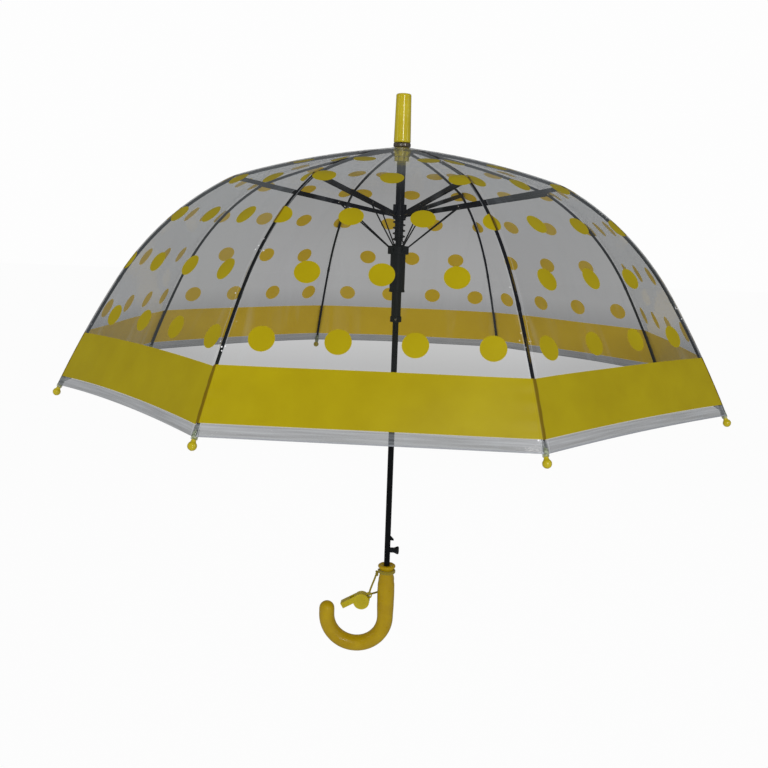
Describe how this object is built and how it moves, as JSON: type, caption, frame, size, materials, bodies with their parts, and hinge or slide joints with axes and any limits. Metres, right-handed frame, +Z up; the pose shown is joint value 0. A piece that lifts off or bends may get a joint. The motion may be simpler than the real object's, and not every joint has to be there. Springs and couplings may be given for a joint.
{
  "type": "childrens umbrella",
  "caption": "Automatic dome umbrella for a child, with a clear printed film canopy, sprung folding ribs, a push button, a hooked handle and a toy whistle.",
  "frame": {"origin": "on the shaft axis at the top face of the handle, where the hand takes hold", "axes": "+Z up the shaft towards the ferrule; the hook points to -X and the push button to +X"},
  "size_m": [0.6914, 0.6914, 0.6642],
  "materials": {
    "shaft": "black baked enamel on steel tube",
    "ferrule": "moulded, glossy yellow",
    "ferrule_washer": "clear moulded plastic",
    "canopy": "clear printed film",
    "top_notch": "moulded, glossy yellow",
    "notch_wire": "drawn wire",
    "stop_sleeve": "moulded black",
    "rib_uppers": "black coated spring steel wire",
    "rib_lowers": "black coated spring steel wire",
    "rib_tips": "moulded, glossy yellow",
    "stretchers": "black lacquered pressed steel",
    "struts": "black lacquered wire",
    "upper_hub": "moulded black",
    "hub_wire": "drawn wire",
    "opening_spring": "black phosphated spring wire",
    "runner": "moulded black",
    "runner_pin": "bright",
    "button": "moulded black",
    "catch": "pressed spring steel",
    "handle": "moulded, glossy yellow",
    "neck_loop": "braided cord",
    "whistle": "moulded, glossy yellow",
    "whistle_pea": "cork-coloured ball",
    "whistle_cord": "braided cord"
  },
  "bodies": {
    "root": {"shaft": "shaft", "ferrule": "ferrule", "ferrule_washer": "ferrule_washer", "canopy": "canopy", "top_notch": "top_notch", "notch_wire": "notch_wire", "stop_sleeve": "stop_sleeve", "handle": "handle", "neck_loop": "neck_loop"},
    "rib_upper_1": {"rib_upper_1": "rib_uppers"},
    "rib_lower_1": {"rib_lower_1": "rib_lowers", "rib_tip_1": "rib_tips"},
    "stretcher_1": {"stretcher_1": "stretchers"},
    "strut_1": {"strut_1": "struts"},
    "rib_upper_2": {"rib_upper_2": "rib_uppers"},
    "rib_lower_2": {"rib_lower_2": "rib_lowers", "rib_tip_2": "rib_tips"},
    "stretcher_2": {"stretcher_2": "stretchers"},
    "strut_2": {"strut_2": "struts"},
    "rib_upper_3": {"rib_upper_3": "rib_uppers"},
    "rib_lower_3": {"rib_lower_3": "rib_lowers", "rib_tip_3": "rib_tips"},
    "stretcher_3": {"stretcher_3": "stretchers"},
    "strut_3": {"strut_3": "struts"},
    "rib_upper_4": {"rib_upper_4": "rib_uppers"},
    "rib_lower_4": {"rib_lower_4": "rib_lowers", "rib_tip_4": "rib_tips"},
    "stretcher_4": {"stretcher_4": "stretchers"},
    "strut_4": {"strut_4": "struts"},
    "rib_upper_5": {"rib_upper_5": "rib_uppers"},
    "rib_lower_5": {"rib_lower_5": "rib_lowers", "rib_tip_5": "rib_tips"},
    "stretcher_5": {"stretcher_5": "stretchers"},
    "strut_5": {"strut_5": "struts"},
    "rib_upper_6": {"rib_upper_6": "rib_uppers"},
    "rib_lower_6": {"rib_lower_6": "rib_lowers", "rib_tip_6": "rib_tips"},
    "stretcher_6": {"stretcher_6": "stretchers"},
    "strut_6": {"strut_6": "struts"},
    "rib_upper_7": {"rib_upper_7": "rib_uppers"},
    "rib_lower_7": {"rib_lower_7": "rib_lowers", "rib_tip_7": "rib_tips"},
    "stretcher_7": {"stretcher_7": "stretchers"},
    "strut_7": {"strut_7": "struts"},
    "rib_upper_8": {"rib_upper_8": "rib_uppers"},
    "rib_lower_8": {"rib_lower_8": "rib_lowers", "rib_tip_8": "rib_tips"},
    "stretcher_8": {"stretcher_8": "stretchers"},
    "strut_8": {"strut_8": "struts"},
    "upper_hub": {"upper_hub": "upper_hub", "hub_wire": "hub_wire"},
    "runner": {"runner": "runner", "runner_pin": "runner_pin", "opening_spring": "opening_spring"},
    "button": {"button": "button"},
    "catch": {"catch": "catch"},
    "whistle": {"whistle": "whistle", "whistle_pea": "whistle_pea", "whistle_cord": "whistle_cord"}
  },
  "joints": [
    {"name": "fold", "type": "hinge", "parent": "root", "child": "rib_upper_1", "pos_m": [0.00601, 0.00249, 0.4795], "axis": [-0.3827, 0.9239, 0], "range_deg": [0, 71.8], "stiffness_Nm_per_rad": 0.25, "springref_deg": -114.59, "deforming": ["canopy"]},
    {"name": "stretcher_hinge_1", "type": "hinge", "parent": "rib_upper_1", "child": "stretcher_1", "pos_m": [0.17277, 0.07156, 0.447], "axis": [-0.3827, 0.9239, 0], "range_deg": [-143.7, 0.05]},
    {"name": "rib_bend_1", "type": "hinge", "parent": "rib_upper_1", "child": "rib_lower_1", "pos_m": [0.17277, 0.07156, 0.447], "axis": [-0.3827, 0.9239, 0], "range_deg": [-31.02, 0.05]},
    {"name": "strut_hinge_1", "type": "hinge", "parent": "stretcher_1", "child": "strut_1", "pos_m": [0.06674, 0.02765, 0.42634], "axis": [-0.3827, 0.9239, 0], "range_deg": [-0.05, 23.83]},
    {"name": "hub_hinge", "type": "hinge", "parent": "stretcher_1", "child": "upper_hub", "pos_m": [0.00601, 0.00249, 0.4145], "axis": [-0.3827, 0.9239, 0], "range_deg": [-0.05, 71.9]},
    {"name": "rib_hinge_2", "type": "hinge", "parent": "root", "child": "rib_upper_2", "pos_m": [0.00249, 0.00601, 0.4795], "axis": [-0.9239, 0.3827, 0], "range_deg": [-0.05, 71.85]},
    {"name": "stretcher_hinge_2", "type": "hinge", "parent": "rib_upper_2", "child": "stretcher_2", "pos_m": [0.07156, 0.17277, 0.447], "axis": [-0.9239, 0.3827, 0], "range_deg": [-143.7, 0.05]},
    {"name": "rib_bend_2", "type": "hinge", "parent": "rib_upper_2", "child": "rib_lower_2", "pos_m": [0.07156, 0.17277, 0.447], "axis": [-0.9239, 0.3827, 0], "range_deg": [-31.02, 0.05]},
    {"name": "strut_hinge_2", "type": "hinge", "parent": "stretcher_2", "child": "strut_2", "pos_m": [0.02765, 0.06674, 0.42634], "axis": [-0.9239, 0.3827, 0], "range_deg": [-0.05, 23.83]},
    {"name": "rib_hinge_3", "type": "hinge", "parent": "root", "child": "rib_upper_3", "pos_m": [-0.00249, 0.00601, 0.4795], "axis": [-0.9239, -0.3827, 0], "range_deg": [-0.05, 71.85]},
    {"name": "stretcher_hinge_3", "type": "hinge", "parent": "rib_upper_3", "child": "stretcher_3", "pos_m": [-0.07156, 0.17277, 0.447], "axis": [-0.9239, -0.3827, 0], "range_deg": [-143.7, 0.05]},
    {"name": "rib_bend_3", "type": "hinge", "parent": "rib_upper_3", "child": "rib_lower_3", "pos_m": [-0.07156, 0.17277, 0.447], "axis": [-0.9239, -0.3827, 0], "range_deg": [-31.02, 0.05]},
    {"name": "strut_hinge_3", "type": "hinge", "parent": "stretcher_3", "child": "strut_3", "pos_m": [-0.02765, 0.06674, 0.42634], "axis": [-0.9239, -0.3827, 0], "range_deg": [-0.05, 23.83]},
    {"name": "rib_hinge_4", "type": "hinge", "parent": "root", "child": "rib_upper_4", "pos_m": [-0.00601, 0.00249, 0.4795], "axis": [-0.3827, -0.9239, 0], "range_deg": [-0.05, 71.85]},
    {"name": "stretcher_hinge_4", "type": "hinge", "parent": "rib_upper_4", "child": "stretcher_4", "pos_m": [-0.17277, 0.07156, 0.447], "axis": [-0.3827, -0.9239, 0], "range_deg": [-143.7, 0.05]},
    {"name": "rib_bend_4", "type": "hinge", "parent": "rib_upper_4", "child": "rib_lower_4", "pos_m": [-0.17277, 0.07156, 0.447], "axis": [-0.3827, -0.9239, 0], "range_deg": [-31.02, 0.05]},
    {"name": "strut_hinge_4", "type": "hinge", "parent": "stretcher_4", "child": "strut_4", "pos_m": [-0.06674, 0.02765, 0.42634], "axis": [-0.3827, -0.9239, 0], "range_deg": [-0.05, 23.83]},
    {"name": "rib_hinge_5", "type": "hinge", "parent": "root", "child": "rib_upper_5", "pos_m": [-0.00601, -0.00249, 0.4795], "axis": [0.3827, -0.9239, 0], "range_deg": [-0.05, 71.85]},
    {"name": "stretcher_hinge_5", "type": "hinge", "parent": "rib_upper_5", "child": "stretcher_5", "pos_m": [-0.17277, -0.07156, 0.447], "axis": [0.3827, -0.9239, 0], "range_deg": [-143.7, 0.05]},
    {"name": "rib_bend_5", "type": "hinge", "parent": "rib_upper_5", "child": "rib_lower_5", "pos_m": [-0.17277, -0.07156, 0.447], "axis": [0.3827, -0.9239, 0], "range_deg": [-31.02, 0.05]},
    {"name": "strut_hinge_5", "type": "hinge", "parent": "stretcher_5", "child": "strut_5", "pos_m": [-0.06674, -0.02765, 0.42634], "axis": [0.3827, -0.9239, 0], "range_deg": [-0.05, 23.83]},
    {"name": "rib_hinge_6", "type": "hinge", "parent": "root", "child": "rib_upper_6", "pos_m": [-0.00249, -0.00601, 0.4795], "axis": [0.9239, -0.3827, 0], "range_deg": [-0.05, 71.85]},
    {"name": "stretcher_hinge_6", "type": "hinge", "parent": "rib_upper_6", "child": "stretcher_6", "pos_m": [-0.07156, -0.17277, 0.447], "axis": [0.9239, -0.3827, 0], "range_deg": [-143.7, 0.05]},
    {"name": "rib_bend_6", "type": "hinge", "parent": "rib_upper_6", "child": "rib_lower_6", "pos_m": [-0.07156, -0.17277, 0.447], "axis": [0.9239, -0.3827, 0], "range_deg": [-31.02, 0.05]},
    {"name": "strut_hinge_6", "type": "hinge", "parent": "stretcher_6", "child": "strut_6", "pos_m": [-0.02765, -0.06674, 0.42634], "axis": [0.9239, -0.3827, 0], "range_deg": [-0.05, 23.83]},
    {"name": "rib_hinge_7", "type": "hinge", "parent": "root", "child": "rib_upper_7", "pos_m": [0.00249, -0.00601, 0.4795], "axis": [0.9239, 0.3827, 0], "range_deg": [-0.05, 71.85]},
    {"name": "stretcher_hinge_7", "type": "hinge", "parent": "rib_upper_7", "child": "stretcher_7", "pos_m": [0.07156, -0.17277, 0.447], "axis": [0.9239, 0.3827, 0], "range_deg": [-143.7, 0.05]},
    {"name": "rib_bend_7", "type": "hinge", "parent": "rib_upper_7", "child": "rib_lower_7", "pos_m": [0.07156, -0.17277, 0.447], "axis": [0.9239, 0.3827, 0], "range_deg": [-31.02, 0.05]},
    {"name": "strut_hinge_7", "type": "hinge", "parent": "stretcher_7", "child": "strut_7", "pos_m": [0.02765, -0.06674, 0.42634], "axis": [0.9239, 0.3827, 0], "range_deg": [-0.05, 23.83]},
    {"name": "rib_hinge_8", "type": "hinge", "parent": "root", "child": "rib_upper_8", "pos_m": [0.00601, -0.00249, 0.4795], "axis": [0.3827, 0.9239, 0], "range_deg": [-0.05, 71.85]},
    {"name": "stretcher_hinge_8", "type": "hinge", "parent": "rib_upper_8", "child": "stretcher_8", "pos_m": [0.17277, -0.07156, 0.447], "axis": [0.3827, 0.9239, 0], "range_deg": [-143.7, 0.05]},
    {"name": "rib_bend_8", "type": "hinge", "parent": "rib_upper_8", "child": "rib_lower_8", "pos_m": [0.17277, -0.07156, 0.447], "axis": [0.3827, 0.9239, 0], "range_deg": [-31.02, 0.05]},
    {"name": "strut_hinge_8", "type": "hinge", "parent": "stretcher_8", "child": "strut_8", "pos_m": [0.06674, -0.02765, 0.42634], "axis": [0.3827, 0.9239, 0], "range_deg": [-0.05, 23.83]},
    {"name": "runner_slide", "type": "slide", "parent": "upper_hub", "child": "runner", "axis": [0, 0, 1], "range_m": [-0.0001, 0.02452], "deforming": ["opening_spring"]},
    {"name": "button_press", "type": "slide", "parent": "root", "child": "button", "axis": [-1, 0, 0], "range_m": [0, 0.003], "stiffness_N_per_m": 300, "springref_m": -0.001},
    {"name": "catch_slide", "type": "slide", "parent": "root", "child": "catch", "axis": [-1, 0, 0], "range_m": [-0.0001, 0.0033]},
    {"name": "whistle_swing", "type": "hinge", "parent": "root", "child": "whistle", "pos_m": [-0.0115, -0.0024, -0.0136], "axis": [1, 0, 0], "range_deg": [-70, 70], "deforming": ["whistle_cord"]}
  ],
  "couplings": [
    {"joint": "stretcher_hinge_1", "follows": "fold", "ratio": -2},
    {"joint": "rib_bend_1", "follows": "fold", "ratio": -0.43066},
    {"joint": "strut_hinge_1", "follows": "fold", "ratio": 0.33044},
    {"joint": "hub_hinge", "follows": "fold", "ratio": 1},
    {"joint": "rib_hinge_2", "follows": "fold", "ratio": 1},
    {"joint": "stretcher_hinge_2", "follows": "fold", "ratio": -2},
    {"joint": "rib_bend_2", "follows": "fold", "ratio": -0.43066},
    {"joint": "strut_hinge_2", "follows": "fold", "ratio": 0.33044},
    {"joint": "rib_hinge_3", "follows": "fold", "ratio": 1},
    {"joint": "stretcher_hinge_3", "follows": "fold", "ratio": -2},
    {"joint": "rib_bend_3", "follows": "fold", "ratio": -0.43066},
    {"joint": "strut_hinge_3", "follows": "fold", "ratio": 0.33044},
    {"joint": "rib_hinge_4", "follows": "fold", "ratio": 1},
    {"joint": "stretcher_hinge_4", "follows": "fold", "ratio": -2},
    {"joint": "rib_bend_4", "follows": "fold", "ratio": -0.43066},
    {"joint": "strut_hinge_4", "follows": "fold", "ratio": 0.33044},
    {"joint": "rib_hinge_5", "follows": "fold", "ratio": 1},
    {"joint": "stretcher_hinge_5", "follows": "fold", "ratio": -2},
    {"joint": "rib_bend_5", "follows": "fold", "ratio": -0.43066},
    {"joint": "strut_hinge_5", "follows": "fold", "ratio": 0.33044},
    {"joint": "rib_hinge_6", "follows": "fold", "ratio": 1},
    {"joint": "stretcher_hinge_6", "follows": "fold", "ratio": -2},
    {"joint": "rib_bend_6", "follows": "fold", "ratio": -0.43066},
    {"joint": "strut_hinge_6", "follows": "fold", "ratio": 0.33044},
    {"joint": "rib_hinge_7", "follows": "fold", "ratio": 1},
    {"joint": "stretcher_hinge_7", "follows": "fold", "ratio": -2},
    {"joint": "rib_bend_7", "follows": "fold", "ratio": -0.43066},
    {"joint": "strut_hinge_7", "follows": "fold", "ratio": 0.33044},
    {"joint": "rib_hinge_8", "follows": "fold", "ratio": 1},
    {"joint": "stretcher_hinge_8", "follows": "fold", "ratio": -2},
    {"joint": "rib_bend_8", "follows": "fold", "ratio": -0.43066},
    {"joint": "strut_hinge_8", "follows": "fold", "ratio": 0.33044},
    {"joint": "runner_slide", "follows": "fold", "m_per_rad": 0.019485},
    {"joint": "catch_slide", "follows": "button_press", "ratio": 1.0667}
  ]
}
